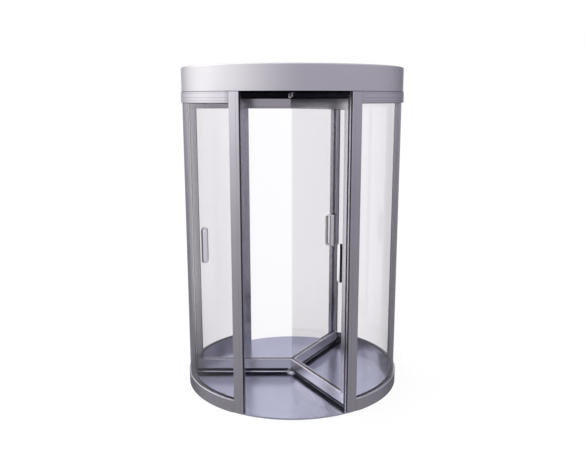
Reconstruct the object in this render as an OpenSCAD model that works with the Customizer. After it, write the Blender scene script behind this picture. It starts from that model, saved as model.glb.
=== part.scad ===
// Revolving door: a round drum of two curved glass walls under a canopy,
// with a three-wing rotor that turns on a floor pivot and a ceiling pivot.
// The origin is on the floor at the middle of the drum, +Z is up, and the
// front doorway opens towards -Y.

/* [Drum] */
// Outside diameter of the posts, the floor plate and the canopy
drum_d = 1700; // [1400:10:2200]
// Height from the floor to the top of the canopy
door_h = 2500; // [2150:10:3000]
// Depth of the wall's posts and rails, measured along a radius
wall_t = 40; // [34:1:60]
// Clear width of each doorway between the outer corners of its posts
doorway_w = 766; // [640:1:940]
// Width of a doorway post along the drum's outside
post_w = 80; // [50:1:110]
// Width of the mullion in the middle of each wall
mullion_w = 80; // [50:1:110]
// Thickness of the curved glass
wall_glass_t = 10; // [8:1:16]
// Clearance between a curved pane and the mullion, post and head rail
glazing_clearance = 0.3; // [0.1:0.1:1]
// Height of the wall's base rail
base_rail_h = 98; // [60:1:160]
// Height of the wall's head rail
head_rail_h = 77; // [50:1:140]
// How far the wall's rails stand proud of its posts
rail_proud = 6; // [2:1:12]
// Thickness of the floor plate
floor_t = 12; // [8:1:20]
// Clearance between the floor plate and the wall around it
floor_clearance = 0.3; // [0.1:0.1:1]

/* [Canopy] */
// Height of the canopy above the ceiling line
canopy_h = 180; // [120:5:400]
// Thickness of the canopy's sheet metal
sheet_t = 3; // [2:0.5:5]
// Outside radius of the canopy's rolled top edge
canopy_edge_r = 8; // [5:1:20]
// Width of the flange that carries the roof
roof_flange_w = 28; // [20:1:60]
// Open joint between the wall's head and the canopy
head_joint = 3; // [2:0.5:6]
// Height of the lip along the canopy's lower edge
lip_h = 14; // [8:1:30]
// How far the lip stands proud of the canopy
lip_proud = 1.5; // [0.5:0.5:4]
// Thickness of the ceiling panel
ceiling_t = 12; // [8:1:20]
// Clearance between the ceiling or roof panel and the canopy around it
panel_clearance = 0.3; // [0.1:0.1:1]

/* [Rotor] */
// Number of degrees that the rotor stands turned at rest
rotor_angle = -1.8; // [-30:0.1:30]
// Thickness of the wings' rails and stiles
wing_t = 45; // [36:1:60]
// Width of a wing's outer stile
stile_w = 45; // [35:1:80]
// Height of a wing's top rail
wing_top_rail_h = 73; // [50:1:120]
// Height of a wing's bottom rail
wing_bottom_rail_h = 81; // [60:1:160]
// Thickness of the wings' glass
wing_glass_t = 10; // [8:1:16]
// Distance between a wing's top rail and the ceiling
top_gap = 47; // [25:1:60]
// Distance between the floor plate and a wing's bottom rail
bottom_gap = 38; // [30:1:55]
// Running clearance of the seals to the floor, wall and ceiling
seal_clearance = 5; // [5:0.5:10]
// How far the edge seal stands out of the stile
edge_seal_w = 8; // [5:1:20]
// Thickness of the edge seal
edge_seal_t = 14; // [8:1:24]
// Thickness of the top and bottom brushes
brush_t = 20; // [12:1:30]

/* [Pivots] */
// Diameter of the floor bearing
floor_bearing_d = 90; // [70:1:140]
// Height of the floor bearing above the floor plate
floor_bearing_h = 25; // [15:1:28]
// Diameter of the bottom pivot
bottom_pivot_d = 34; // [20:1:50]
// Diameter of the ceiling bearing
ceiling_bearing_d = 50; // [36:1:80]
// Distance between the ceiling bearing and the wings' top rails
ceiling_bearing_gap = 10; // [5:1:16]
// Diameter of the top pivot
top_pivot_d = 24; // [16:1:30]
// Radius of the bearings' rounded edges
bearing_edge_r = 6; // [2:1:8]
// Radial running clearance of a pivot in its bearing
pivot_fit = 0.05; // [0.02:0.01:0.1]
// Clearance under or over the end of a pivot
thrust_gap = 0.3; // [0.1:0.1:1]
// Thickness of the bearing behind the end of a pivot
bearing_web = 6; // [4:1:10]

/* [Handles] */
// Height of the middle of the handles above the floor
handle_z = 1108; // [900:1:1300]
// Length of a handle and of its push plate
handle_l = 286; // [200:1:500]
// Width of a handle and of its push plate
handle_w = 48; // [30:1:60]
// Thickness of the handle's bar
handle_t = 12; // [8:1:16]
// Distance from the middle of the glass to the front of the handle
handle_reach = 56; // [45:1:75]
// Outside radius of the handle's bends
handle_bend_r = 24; // [16:1:30]
// Corner radius of the handle and of the push plate, seen from the front
handle_corner_r = 18; // [6:1:23]
// Thickness of the push plate on the other face of the glass
push_plate_t = 15; // [6:1:20]
// Distance between a handle and the stile beside it
handle_inset = 20; // [10:1:60]

/* [Hidden] */
$fn = 96;

// Directions, counted anticlockwise from +X
front = 270;
rear = 90;
left = 180;
right = 0;

// Drum radii and heights
outer_r = drum_d / 2;
inner_r = outer_r - wall_t;
glass_r = (inner_r + outer_r) / 2;
ceiling_z = door_h - canopy_h;
head_rail_z = ceiling_z - head_rail_h;

// Half angles of the doorways and the mullions, and the angle of a post
doorway_half = asin(doorway_w / 2 / outer_r);
post_angle = post_w / outer_r * 180 / PI;
mullion_half = mullion_w / 2 / outer_r * 180 / PI;
wall_half = 90 - doorway_half - post_angle;

// Angles of the clearances at the ends of a pane and of a floor tongue
glazing_angle = glazing_clearance / glass_r * 180 / PI;
tongue_angle = floor_clearance / outer_r * 180 / PI;

// Rotor radii and heights
seal_r = inner_r - seal_clearance;
stile_outer_r = seal_r - edge_seal_w;
stile_inner_r = stile_outer_r - stile_w;
seal_low_z = floor_t + seal_clearance;
seal_high_z = ceiling_z - seal_clearance;
rotor_low_z = floor_t + bottom_gap;
rotor_high_z = ceiling_z - top_gap;
glass_low_z = rotor_low_z + wing_bottom_rail_h;
glass_high_z = rotor_high_z - wing_top_rail_h;
handle_r = stile_inner_r - handle_inset - handle_w / 2;
wing_angles = [for (i = [0:2]) left + rotor_angle - 120 * i];

// Colours
satin_grey = [0.60, 0.60, 0.63];
pale_grey = [0.80, 0.80, 0.83];
plate_grey = [0.62, 0.63, 0.70];
seal_black = [0.08, 0.08, 0.09];
clear_glass = [0.82, 0.87, 0.92, 0.35];
bright_steel = [0.85, 0.85, 0.88];

// Section, drawn with its radius along X and its height along Y, swept
// from one direction to another
module swept(from_angle, to_angle) {
    rotate([0, 0, from_angle])
        rotate_extrude(angle = to_angle - from_angle)
            children();
}

// Piece of round wall between two radii, two heights and two directions
module wall_block(r1, r2, z1, z2, from_angle, to_angle) {
    swept(from_angle, to_angle)
        translate([r1, z1])
            square([r2 - r1, z2 - z1]);
}

// Disc of sheet between two heights
module disc(r, z1, z2) {
    translate([0, 0, z1])
        cylinder(r = r, h = z2 - z1);
}

// Rectangle centred on the origin, with round corners
module rounded_rectangle(width, height, radius) {
    square([width - 2 * radius, height], center = true);
    square([width, height - 2 * radius], center = true);
    for (x = [-1, 1], y = [-1, 1])
        translate([x * (width / 2 - radius), y * (height / 2 - radius)])
            circle(r = radius);
}

// ---- Drum ----

// Post of a doorway. Side is -1 for the post clockwise from the doorway's
// middle and 1 for the other one.
module doorway_post(doorway, side) {
    near = side * doorway_half;
    far = side * (doorway_half + post_angle);
    color(satin_grey)
        wall_block(inner_r, outer_r, 0, ceiling_z,
            doorway + min(near, far), doorway + max(near, far));
}

module mullion(wall) {
    color(satin_grey)
        wall_block(inner_r, outer_r, base_rail_h, head_rail_z,
            wall - mullion_half, wall + mullion_half);
}

module wall_rail(wall, low_z, high_z) {
    color(satin_grey)
        wall_block(inner_r, outer_r + rail_proud, low_z, high_z,
            wall - wall_half, wall + wall_half);
}

// Curved pane between the mullion and a post. Side is -1 for the pane
// clockwise from the mullion and 1 for the other one.
module wall_pane(wall, side) {
    near = side * (mullion_half + glazing_angle);
    far = side * (wall_half - glazing_angle);
    color(clear_glass)
        wall_block(glass_r - wall_glass_t / 2, glass_r + wall_glass_t / 2,
            base_rail_h, head_rail_z - glazing_clearance,
            wall + min(near, far), wall + max(near, far));
}

// Plate between the walls, with a tongue that fills each doorway
module floor_plate() {
    tongue_half = doorway_half - tongue_angle;
    color(plate_grey) {
        disc(inner_r - floor_clearance, 0, floor_t);
        for (doorway = [front, rear])
            wall_block(inner_r / 2, outer_r, 0, floor_t,
                doorway - tongue_half, doorway + tongue_half);
    }
}

// Round bearing that stands on Z 0 with a blind bore from its top
module bearing(d, height, pivot_d) {
    rotate_extrude()
        difference() {
            union() {
                square([d / 2 - bearing_edge_r, height]);
                square([d / 2, height - bearing_edge_r]);
                translate([d / 2 - bearing_edge_r, height - bearing_edge_r])
                    circle(r = bearing_edge_r, $fn = 48);
            }
            translate([0, bearing_web])
                square([pivot_d / 2 + pivot_fit, height]);
        }
}

module floor_bearing() {
    color(bright_steel)
        translate([0, 0, floor_t])
            bearing(floor_bearing_d, floor_bearing_h, bottom_pivot_d);
}

module ceiling_bearing() {
    color(satin_grey)
        translate([0, 0, ceiling_z])
            mirror([0, 0, 1])
                bearing(ceiling_bearing_d, top_gap - ceiling_bearing_gap, top_pivot_d);
}

// Outline of the canopy's edge, a sheet with a rolled top corner
module canopy_corner(inset) {
    r = outer_r - inset;
    z = door_h - inset;
    roll = canopy_edge_r - inset;
    low_z = ceiling_z + head_joint;
    flange_r = outer_r - roof_flange_w;
    translate([flange_r, low_z])
        square([r - roll - flange_r, z - low_z]);
    translate([flange_r, low_z])
        square([r - flange_r, z - roll - low_z]);
    translate([r - roll, z - roll])
        circle(r = roll, $fn = 48);
}

module canopy_fascia() {
    low_z = ceiling_z + head_joint;
    color(pale_grey)
        rotate_extrude() {
            difference() {
                canopy_corner(0);
                translate([0, -canopy_edge_r])
                    canopy_corner(sheet_t);
                canopy_corner(sheet_t);
            }
            translate([outer_r - sheet_t, low_z])
                square([sheet_t + lip_proud, lip_h]);
        }
}

module canopy_roof() {
    color(pale_grey)
        disc(outer_r - canopy_edge_r - panel_clearance, door_h - 2 * sheet_t, door_h - sheet_t);
}

module ceiling_panel() {
    color(seal_black)
        disc(outer_r - sheet_t - panel_clearance, ceiling_z, ceiling_z + ceiling_t);
}

// ---- Rotor ----

// Places a wing piece that is drawn along +X
module on_wing(number) {
    rotate([0, 0, wing_angles[number - 1]])
        children();
}

// Slab of a wing from the axis outwards. Its inner end is mitred so that
// the three wings meet on the axis.
module mitred_slab(thickness, end_r, low_z, high_z) {
    mitre = thickness / 2 / tan(60);
    translate([0, 0, low_z])
        linear_extrude(high_z - low_z)
            polygon([[0, 0], [mitre, -thickness / 2], [end_r, -thickness / 2],
                [end_r, thickness / 2], [mitre, thickness / 2]]);
}

// Upright slab between two radii, centred on the wing's middle plane
module slab(thickness, r1, r2, low_z, high_z) {
    translate([r1, -thickness / 2, low_z])
        cube([r2 - r1, thickness, high_z - low_z]);
}

module wing_top_rail(number) {
    color(satin_grey)
        on_wing(number)
            mitred_slab(wing_t, stile_outer_r, glass_high_z, rotor_high_z);
}

module wing_bottom_rail(number) {
    color(satin_grey)
        on_wing(number)
            mitred_slab(wing_t, stile_outer_r, rotor_low_z, glass_low_z);
}

module wing_stile(number) {
    color(satin_grey)
        on_wing(number)
            slab(wing_t, stile_inner_r, stile_outer_r, glass_low_z, glass_high_z);
}

module wing_glass(number) {
    color(clear_glass)
        on_wing(number)
            mitred_slab(wing_glass_t, stile_inner_r, glass_low_z, glass_high_z);
}

// Brush under the wing, brush over it, and the seal along its outer edge
module wing_seals(number) {
    color(seal_black)
        on_wing(number) {
            slab(brush_t, floor_bearing_d / 2 + seal_clearance, seal_r, seal_low_z, rotor_low_z);
            slab(brush_t, ceiling_bearing_d / 2 + seal_clearance, seal_r, rotor_high_z, seal_high_z);
            slab(edge_seal_t, stile_outer_r, seal_r, seal_low_z, seal_high_z);
        }
}

// Front outline of a handle, as a slab that reaches from y1 to y2
module handle_outline(y1, y2) {
    translate([handle_r, y2, handle_z])
        rotate([90, 0, 0])
            linear_extrude(y2 - y1)
                rounded_rectangle(handle_w, handle_l, handle_corner_r);
}

// Side view of the bow between the glass and the handle's reach, made
// smaller by an inset
module bow_side(inset) {
    near = wing_glass_t / 2 - handle_bend_r * 2;
    far = handle_reach - inset;
    translate([(near + far) / 2, 0])
        rounded_rectangle(far - near, handle_l - 2 * inset, handle_bend_r - inset);
}

// Flat bar bent into a bow, with both ends on the glass
module wing_handle(number) {
    color(bright_steel)
        on_wing(number)
            intersection() {
                handle_outline(wing_glass_t / 2, handle_reach);
                translate([handle_r - handle_w, 0, handle_z])
                    rotate([90, 0, 90])
                        linear_extrude(2 * handle_w)
                            difference() {
                                bow_side(0);
                                bow_side(handle_t);
                            }
            }
}

module wing_push_plate(number) {
    color(bright_steel)
        on_wing(number)
            handle_outline(-wing_glass_t / 2 - push_plate_t, -wing_glass_t / 2);
}

// Pivot under the rotor, standing in the floor bearing
module bottom_pivot() {
    color(bright_steel)
        disc(bottom_pivot_d / 2, floor_t + bearing_web + thrust_gap, rotor_low_z);
}

// Pivot on top of the rotor, reaching up into the ceiling bearing
module top_pivot() {
    color(bright_steel)
        disc(top_pivot_d / 2, rotor_high_z, ceiling_z - bearing_web - thrust_gap);
}

floor_plate();
floor_bearing();
doorway_post(front, -1);  // left_front_post
doorway_post(front, 1);  // right_front_post
doorway_post(rear, 1);  // left_rear_post
doorway_post(rear, -1);  // right_rear_post
mullion(left);  // left_mullion
mullion(right);  // right_mullion
wall_rail(left, 0, base_rail_h);  // left_base_rail
wall_rail(right, 0, base_rail_h);  // right_base_rail
wall_rail(left, head_rail_z, ceiling_z);  // left_head_rail
wall_rail(right, head_rail_z, ceiling_z);  // right_head_rail
wall_pane(left, 1);  // left_front_glass
wall_pane(left, -1);  // left_rear_glass
wall_pane(right, -1);  // right_front_glass
wall_pane(right, 1);  // right_rear_glass
canopy_fascia();
canopy_roof();
ceiling_panel();
ceiling_bearing();
bottom_pivot();
top_pivot();
wing_top_rail(1);  // wing_1_top_rail
wing_bottom_rail(1);  // wing_1_bottom_rail
wing_stile(1);  // wing_1_stile
wing_glass(1);  // wing_1_glass
wing_seals(1);  // wing_1_seals
wing_handle(1);  // wing_1_handle
wing_push_plate(1);  // wing_1_push_plate
wing_top_rail(2);  // wing_2_top_rail
wing_bottom_rail(2);  // wing_2_bottom_rail
wing_stile(2);  // wing_2_stile
wing_glass(2);  // wing_2_glass
wing_seals(2);  // wing_2_seals
wing_handle(2);  // wing_2_handle
wing_push_plate(2);  // wing_2_push_plate
wing_top_rail(3);  // wing_3_top_rail
wing_bottom_rail(3);  // wing_3_bottom_rail
wing_stile(3);  // wing_3_stile
wing_glass(3);  // wing_3_glass
wing_seals(3);  // wing_3_seals
wing_handle(3);  // wing_3_handle
wing_push_plate(3);  // wing_3_push_plate
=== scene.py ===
"""Looks of a round revolving door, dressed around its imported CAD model.

Main places and sizes come from the CAD nodes' boxes, and small ones are fields
and constants of the classes. A dressed piece that stands for a plain CAD node
stays inside its box and rides on the same body. Added gaskets, beads, brushes
and screws reach a little past the nodes they sit on. Lengths are in metres and
angles in radians, +Z is up and the front doorway opens towards -Y.
"""

import logging
import math
from dataclasses import dataclass
from enum import Enum
from typing import Callable, Iterable, Optional, Sequence, Union

import bmesh
import bpy
from mathutils import Matrix, Vector


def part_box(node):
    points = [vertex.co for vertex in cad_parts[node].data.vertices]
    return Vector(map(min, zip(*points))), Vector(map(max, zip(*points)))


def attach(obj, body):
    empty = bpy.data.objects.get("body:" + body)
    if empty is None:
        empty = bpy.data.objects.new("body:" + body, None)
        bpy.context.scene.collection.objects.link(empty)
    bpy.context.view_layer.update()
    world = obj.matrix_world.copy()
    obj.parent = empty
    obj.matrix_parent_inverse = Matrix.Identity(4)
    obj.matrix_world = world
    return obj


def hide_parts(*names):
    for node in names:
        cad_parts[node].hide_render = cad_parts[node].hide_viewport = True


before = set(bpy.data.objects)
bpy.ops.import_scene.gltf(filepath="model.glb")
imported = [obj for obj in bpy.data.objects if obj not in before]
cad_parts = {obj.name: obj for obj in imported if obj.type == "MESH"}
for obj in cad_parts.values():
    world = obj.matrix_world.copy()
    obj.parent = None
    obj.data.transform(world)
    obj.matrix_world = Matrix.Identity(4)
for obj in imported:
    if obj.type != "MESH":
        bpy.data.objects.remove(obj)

DRUM = "drum"
ROTOR = "rotor"
SHARP_ANGLE = math.radians(32)
MERGE = 1e-6
WEAR = "wear"
CLEAR = 0.0001
# A round corner of SUPPORTED_R or more gets a point at each end, SUPPORT times
# its radius away, so that the flat faces beside it shade flat.
SUPPORT = 0.15
SUPPORTED_R = 0.0009
JOINT_GROOVE = (0.0014, 0.0012)
GASKET_TOE = 0.0012
WING_SPACING = math.radians(120)
NOISE_RANGE = (0.3, 0.7)

Colour = tuple[float, float, float]
Corner = tuple[float, float, float]
Point = tuple[float, float]
Ring = list[Vector]
Value = Union[float, int, tuple, bpy.types.NodeSocket, bpy.types.ID]

log = logging.getLogger("revolving_door")


# ---- Node graphs ----


class Graph:
    """A node tree of either kind, built by calls that return its nodes."""

    def __init__(self, tree: bpy.types.NodeTree) -> None:
        """Takes the tree to build in and clears it."""
        self.tree = tree
        tree.nodes.clear()

    def node(self, kind: str, inputs: Optional[dict] = None, **settings) -> bpy.types.Node:
        """Adds a node.

        Args:
            kind: The node's type name.
            inputs: A value or a socket for each input, by its name or number.
            settings: The node's own properties.

        Returns:
            The new node.
        """
        made = self.tree.nodes.new(kind)
        for name, setting in settings.items():
            setattr(made, name, setting)
        for key, value in (inputs or {}).items():
            self.feed(made.inputs[key], value)
        return made

    def feed(self, socket: bpy.types.NodeSocket, value: Value) -> None:
        """Links a socket to the input, or sets the input's own value.

        Args:
            socket: The input.
            value: The socket or the value that it gets.
        """
        if isinstance(value, bpy.types.NodeSocket):
            self.tree.links.new(value, socket)
        else:
            socket.default_value = value

    def math(self, operation: str, *values: Value) -> bpy.types.NodeSocket:
        """Returns the result of a math operation on numbers or sockets."""
        made = self.node("ShaderNodeMath", dict(enumerate(values)), operation=operation)
        return made.outputs[0]

    def xyz(self, x: Value, y: Value, z: Value) -> bpy.types.NodeSocket:
        """Returns a vector made of three numbers or sockets."""
        made = self.node("ShaderNodeCombineXYZ", {0: x, 1: y, 2: z})
        return made.outputs[0]

    def length_of(self, x: Value, y: Value) -> bpy.types.NodeSocket:
        """Returns the length of a vector of two parts."""
        return self.math("SQRT", self.math("ADD", self.math("MULTIPLY", x, x),
                                           self.math("MULTIPLY", y, y)))

    def spread(self, value: Value, low: float, high: float, to_low: float = 0.0,
               to_high: float = 1.0) -> bpy.types.NodeSocket:
        """Maps a value from one range to another, and keeps it in it.

        Args:
            value: The value.
            low: Where its range starts.
            high: Where its range ends.
            to_low: What the start becomes.
            to_high: What the end becomes.

        Returns:
            The mapped value.
        """
        made = self.node("ShaderNodeMapRange",
                         {0: value, 1: low, 2: high, 3: to_low, 4: to_high})
        return made.outputs[0]

    def mix(self, share: Value, first: Value, second: Value) -> bpy.types.NodeSocket:
        """Returns a mix of two colours, by the second one's share."""
        made = self.node("ShaderNodeMix", {0: share, 6: first, 7: second}, data_type="RGBA")
        return made.outputs[2]


class ShapeGraph(Graph):
    """A Geometry Nodes group with named inputs."""

    KINDS = {float: "NodeSocketFloat", int: "NodeSocketInt", bool: "NodeSocketBool",
             Vector: "NodeSocketVector", bpy.types.Object: "NodeSocketObject",
             bpy.types.Material: "NodeSocketMaterial"}

    def __init__(self, name: str, inputs: dict[str, type]) -> None:
        """Makes an empty group.

        Args:
            name: The group's name.
            inputs: The type of each input, by its name.
        """
        super().__init__(bpy.data.node_groups.new(name, "GeometryNodeTree"))
        face = self.tree.interface
        face.new_socket("Geometry", in_out="INPUT", socket_type="NodeSocketGeometry")
        face.new_socket("Geometry", in_out="OUTPUT", socket_type="NodeSocketGeometry")
        wanted = {**inputs, "Material": bpy.types.Material}
        self.keys = {
            label: face.new_socket(label, in_out="INPUT", socket_type=self.KINDS[kind]).identifier
            for label, kind in wanted.items()}
        self.inlet = self.node("NodeGroupInput").outputs

    def end(self, shape: bpy.types.NodeSocket) -> None:
        """Closes the group: instances are made real, smooth and dressed.

        Args:
            shape: What the group has made.
        """
        smooth = self.node("GeometryNodeSetShadeSmooth", {0: shape})
        real = self.node("GeometryNodeRealizeInstances", {0: smooth.outputs[0]})
        dressed = self.node("GeometryNodeSetMaterial",
                            {0: real.outputs[0], "Material": self.inlet["Material"]})
        self.node("NodeGroupOutput", {0: dressed.outputs[0]})

    def run(self, mesh: bpy.types.Mesh, **values: Value) -> bpy.types.Mesh:
        """Runs the group on a mesh.

        Args:
            mesh: What the group gets as its geometry.
            values: The inputs, by name, with _ for a space.

        Returns:
            The result as a plain mesh.
        """
        carrier = bpy.data.objects.new("carrier", mesh)
        bpy.context.scene.collection.objects.link(carrier)
        modifier = carrier.modifiers.new("shape", "NODES")
        modifier.node_group = self.tree
        for name, value in values.items():
            modifier[self.keys[name.replace("_", " ")]] = value
        graph = bpy.context.evaluated_depsgraph_get()
        result = bpy.data.meshes.new_from_object(carrier.evaluated_get(graph), depsgraph=graph)
        carrier.modifiers.remove(modifier)
        bpy.data.objects.remove(carrier)
        return result


# ---- Outlines and meshes ----


@dataclass(frozen=True)
class Outline:
    """A closed outline, with the share of edge wear at each of its points."""

    points: tuple[Point, ...]
    wear: tuple[float, ...]

    @classmethod
    def rounded(cls, corners: Sequence[Corner], steps: int = 4) -> "Outline":
        """Rounds the corners of a polygon.

        Args:
            corners: The x, y and corner radius of each corner, in order.
            steps: How many segments each round corner has.

        Returns:
            The outline. Its wear is 1 on the round corners.
        """
        points: list[Point] = []
        wear: list[float] = []
        for before, here, after in zip(corners[-1:] + corners[:-1], corners,
                                       corners[1:] + corners[:1]):
            corner = Vector(here[:2])
            if here[2] <= 0:
                points.append(tuple(corner))
                wear.append(0.0)
                continue
            back = (Vector(before[:2]) - corner).normalized()
            ahead = (Vector(after[:2]) - corner).normalized()
            half = back.angle(ahead) / 2
            reach = here[2] / math.tan(half)
            middle = corner + (back + ahead).normalized() * (here[2] / math.sin(half))
            start = corner + back * reach - middle
            stop = corner + ahead * reach - middle
            turn = start.angle_signed(stop)
            support = SUPPORT * here[2] if here[2] >= SUPPORTED_R else 0.0
            if support:
                points.append(tuple(middle + start + back * support))
                wear.append(0.0)
            for step in range(steps + 1):
                arm = start.copy()
                arm.rotate(Matrix.Rotation(-turn * step / steps, 2))
                points.append(tuple(middle + arm))
                wear.append(1.0)
            if support:
                points.append(tuple(middle + stop + ahead * support))
                wear.append(0.0)
        return cls(tuple(points), tuple(wear))

    @classmethod
    def box(cls, low: Point, high: Point, radii: Sequence[float] = (0, 0, 0, 0),
            steps: int = 4) -> "Outline":
        """Makes a box with round corners.

        Args:
            low: The first corner.
            high: The corner across from it.
            radii: The corner radii, from the first corner and first along x.
            steps: How many segments each round corner has.

        Returns:
            The outline.
        """
        places = ((low[0], low[1]), (high[0], low[1]), (high[0], high[1]), (low[0], high[1]))
        return cls.rounded([(x, y, r) for (x, y), r in zip(places, radii)], steps)

    def subdivided(self, longest: float) -> "Outline":
        """Cuts the long sides into shorter ones.

        Args:
            longest: The greatest length that a side may keep.

        Returns:
            The finer outline.
        """
        points: list[Point] = []
        wear: list[float] = []
        for index, point in enumerate(self.points):
            here = Vector(point)
            step = Vector(self.points[(index + 1) % len(self.points)]) - here
            count = max(1, math.ceil(step.length / longest))
            for cut in range(count):
                points.append(tuple(here + step * cut / count))
                wear.append(self.wear[index] if cut == 0 else 0.0)
        return Outline(tuple(points), tuple(wear))


def groove(x: float, y: float, across: Point, width: float, depth: float) -> list[Corner]:
    """Corners of a small V-groove.

    Args:
        x: The groove's middle.
        y: The groove's middle.
        across: The outline's direction there. The groove cuts to its left.
        width: The groove's width.
        depth: The groove's depth.

    Returns:
        Three sharp corners for an outline.
    """
    dx, dy = across
    return [(x - dx * width / 2, y - dy * width / 2, 0),
            (x - dy * depth, y + dx * depth, 0),
            (x + dx * width / 2, y + dy * width / 2, 0)]


class Skin:
    """Closed skins that make up one mesh."""

    def __init__(self) -> None:
        """Starts with no skin."""
        self.points: list[Vector] = []
        self.faces: list[tuple[int, ...]] = []
        self.wear: list[float] = []

    def loft(self, rings: Sequence[Ring], wear: Optional[Sequence[float]] = None) -> "Skin":
        """Adds a skin through rings of points, closed at both ends.

        Args:
            rings: The rings, each with as many points.
            wear: The wear of each point of a ring.

        Returns:
            The skin itself, so that calls can follow each other.
        """
        base = len(self.points)
        count = len(rings[0])
        for ring in rings:
            self.points += ring
            self.wear += list(wear) if wear else [0.0] * count
        for row in range(len(rings) - 1):
            low = base + row * count
            for here in range(count):
                ahead = (here + 1) % count
                self.faces.append((low + here, low + ahead,
                                   low + count + ahead, low + count + here))
        self.faces.append(tuple(base + i for i in reversed(range(count))))
        self.faces.append(tuple(len(self.points) - count + i for i in range(count)))
        return self

    def lathe(self, profile: Sequence[Point], turns: int) -> "Skin":
        """Adds a round skin about Z.

        Args:
            profile: Radius and height of each point, from the axis to the axis.
            turns: How many segments go round.

        Returns:
            The skin itself.
        """
        base = len(self.points)
        inner = profile[1:-1]
        self.points += [Vector((0, 0, profile[0][1])), Vector((0, 0, profile[-1][1]))]
        for turn in range(turns):
            angle = math.tau * turn / turns
            self.points += [Vector((r * math.cos(angle), r * math.sin(angle), z))
                            for r, z in inner]
        self.wear += [0.0] * (len(self.points) - base)
        for turn in range(turns):
            here = base + 2 + turn * len(inner)
            ahead = base + 2 + (turn + 1) % turns * len(inner)
            self.faces.append((base, ahead, here))
            for row in range(len(inner) - 1):
                self.faces.append((here + row, ahead + row, ahead + row + 1, here + row + 1))
            self.faces.append((here + len(inner) - 1, ahead + len(inner) - 1, base + 1))
        return self

    def mesh(self) -> bpy.types.Mesh:
        """Puts the skins into one mesh.

        Returns:
            The mesh, with the wear of its points as an attribute.
        """
        made = bpy.data.meshes.new("skin")
        made.from_pydata([tuple(p) for p in self.points], [], self.faces)
        made.attributes.new(WEAR, "FLOAT", "POINT").data.foreach_set("value", self.wear)
        return made


def prism(outline: Outline, place: Callable[[float, float, float], Vector],
          stations: Sequence[float]) -> bpy.types.Mesh:
    """Mesh of an outline carried along a third direction.

    Args:
        outline: The section.
        place: Gives a point from its two places in the section and its station.
        stations: Where the section's copies are.

    Returns:
        The mesh.
    """
    rings = [[place(u, v, station) for u, v in outline.points] for station in stations]
    return Skin().loft(rings, outline.wear).mesh()


def tidy(meshes: Iterable[bpy.types.Mesh]) -> bpy.types.Mesh:
    """Joins meshes, closes their seams, and turns every face outwards.

    Args:
        meshes: The meshes to join.

    Returns:
        The joined mesh, smooth but for its sharp edges.
    """
    whole = bmesh.new()
    for mesh in meshes:
        whole.from_mesh(mesh)
    bmesh.ops.remove_doubles(whole, verts=whole.verts, dist=MERGE)
    bmesh.ops.recalc_face_normals(whole, faces=whole.faces)
    joined = bpy.data.meshes.new("piece")
    whole.to_mesh(joined)
    whole.free()
    joined.shade_smooth()
    joined.set_sharp_from_angle(angle=SHARP_ANGLE)
    return joined


class Fitter:
    """Puts finished meshes into the scene as pieces of the door."""

    def __init__(self) -> None:
        """Starts with no piece fitted."""
        self.count = 0

    def fit(self, name: str, meshes: Iterable[bpy.types.Mesh], material: bpy.types.Material,
            body: str, slot: str, replaces: Sequence[str] = ()) -> bpy.types.Object:
        """Makes one piece and lets it ride.

        Args:
            name: The piece's name.
            meshes: What the piece is made of.
            material: What it is dressed in.
            body: The CAD body that it rides on.
            slot: Not used.
            replaces: The CAD nodes that it stands for.

        Returns:
            The piece.
        """
        piece = bpy.data.objects.new(name, tidy(meshes))
        piece.data.name = name
        piece.data.materials.clear()
        piece.data.materials.append(material)
        bpy.context.scene.collection.objects.link(piece)
        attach(piece, body)
        if replaces:
            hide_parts(*replaces)
        self.count += 1
        log.info("%s: %d faces on %s", name, len(piece.data.polygons), body)
        return piece

    def dress(self, nodes: Iterable[str], material: bpy.types.Material) -> None:
        """Gives CAD nodes whose shape is right their material.

        Args:
            nodes: The nodes' names.
            material: What they are dressed in.
        """
        for name in nodes:
            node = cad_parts[name]
            node.data.materials.clear()
            node.data.materials.append(material)
            log.info("%s: keeps its CAD shape", name)


# ---- Finishes ----


class Grain(Enum):
    """The direction in which a metal's fine grain runs."""

    UPRIGHT = "upright"
    ROUND = "round"
    ALONG = "along"


GRAIN_FINE = 1100.0
GRAIN_LONG = 4.0


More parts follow.
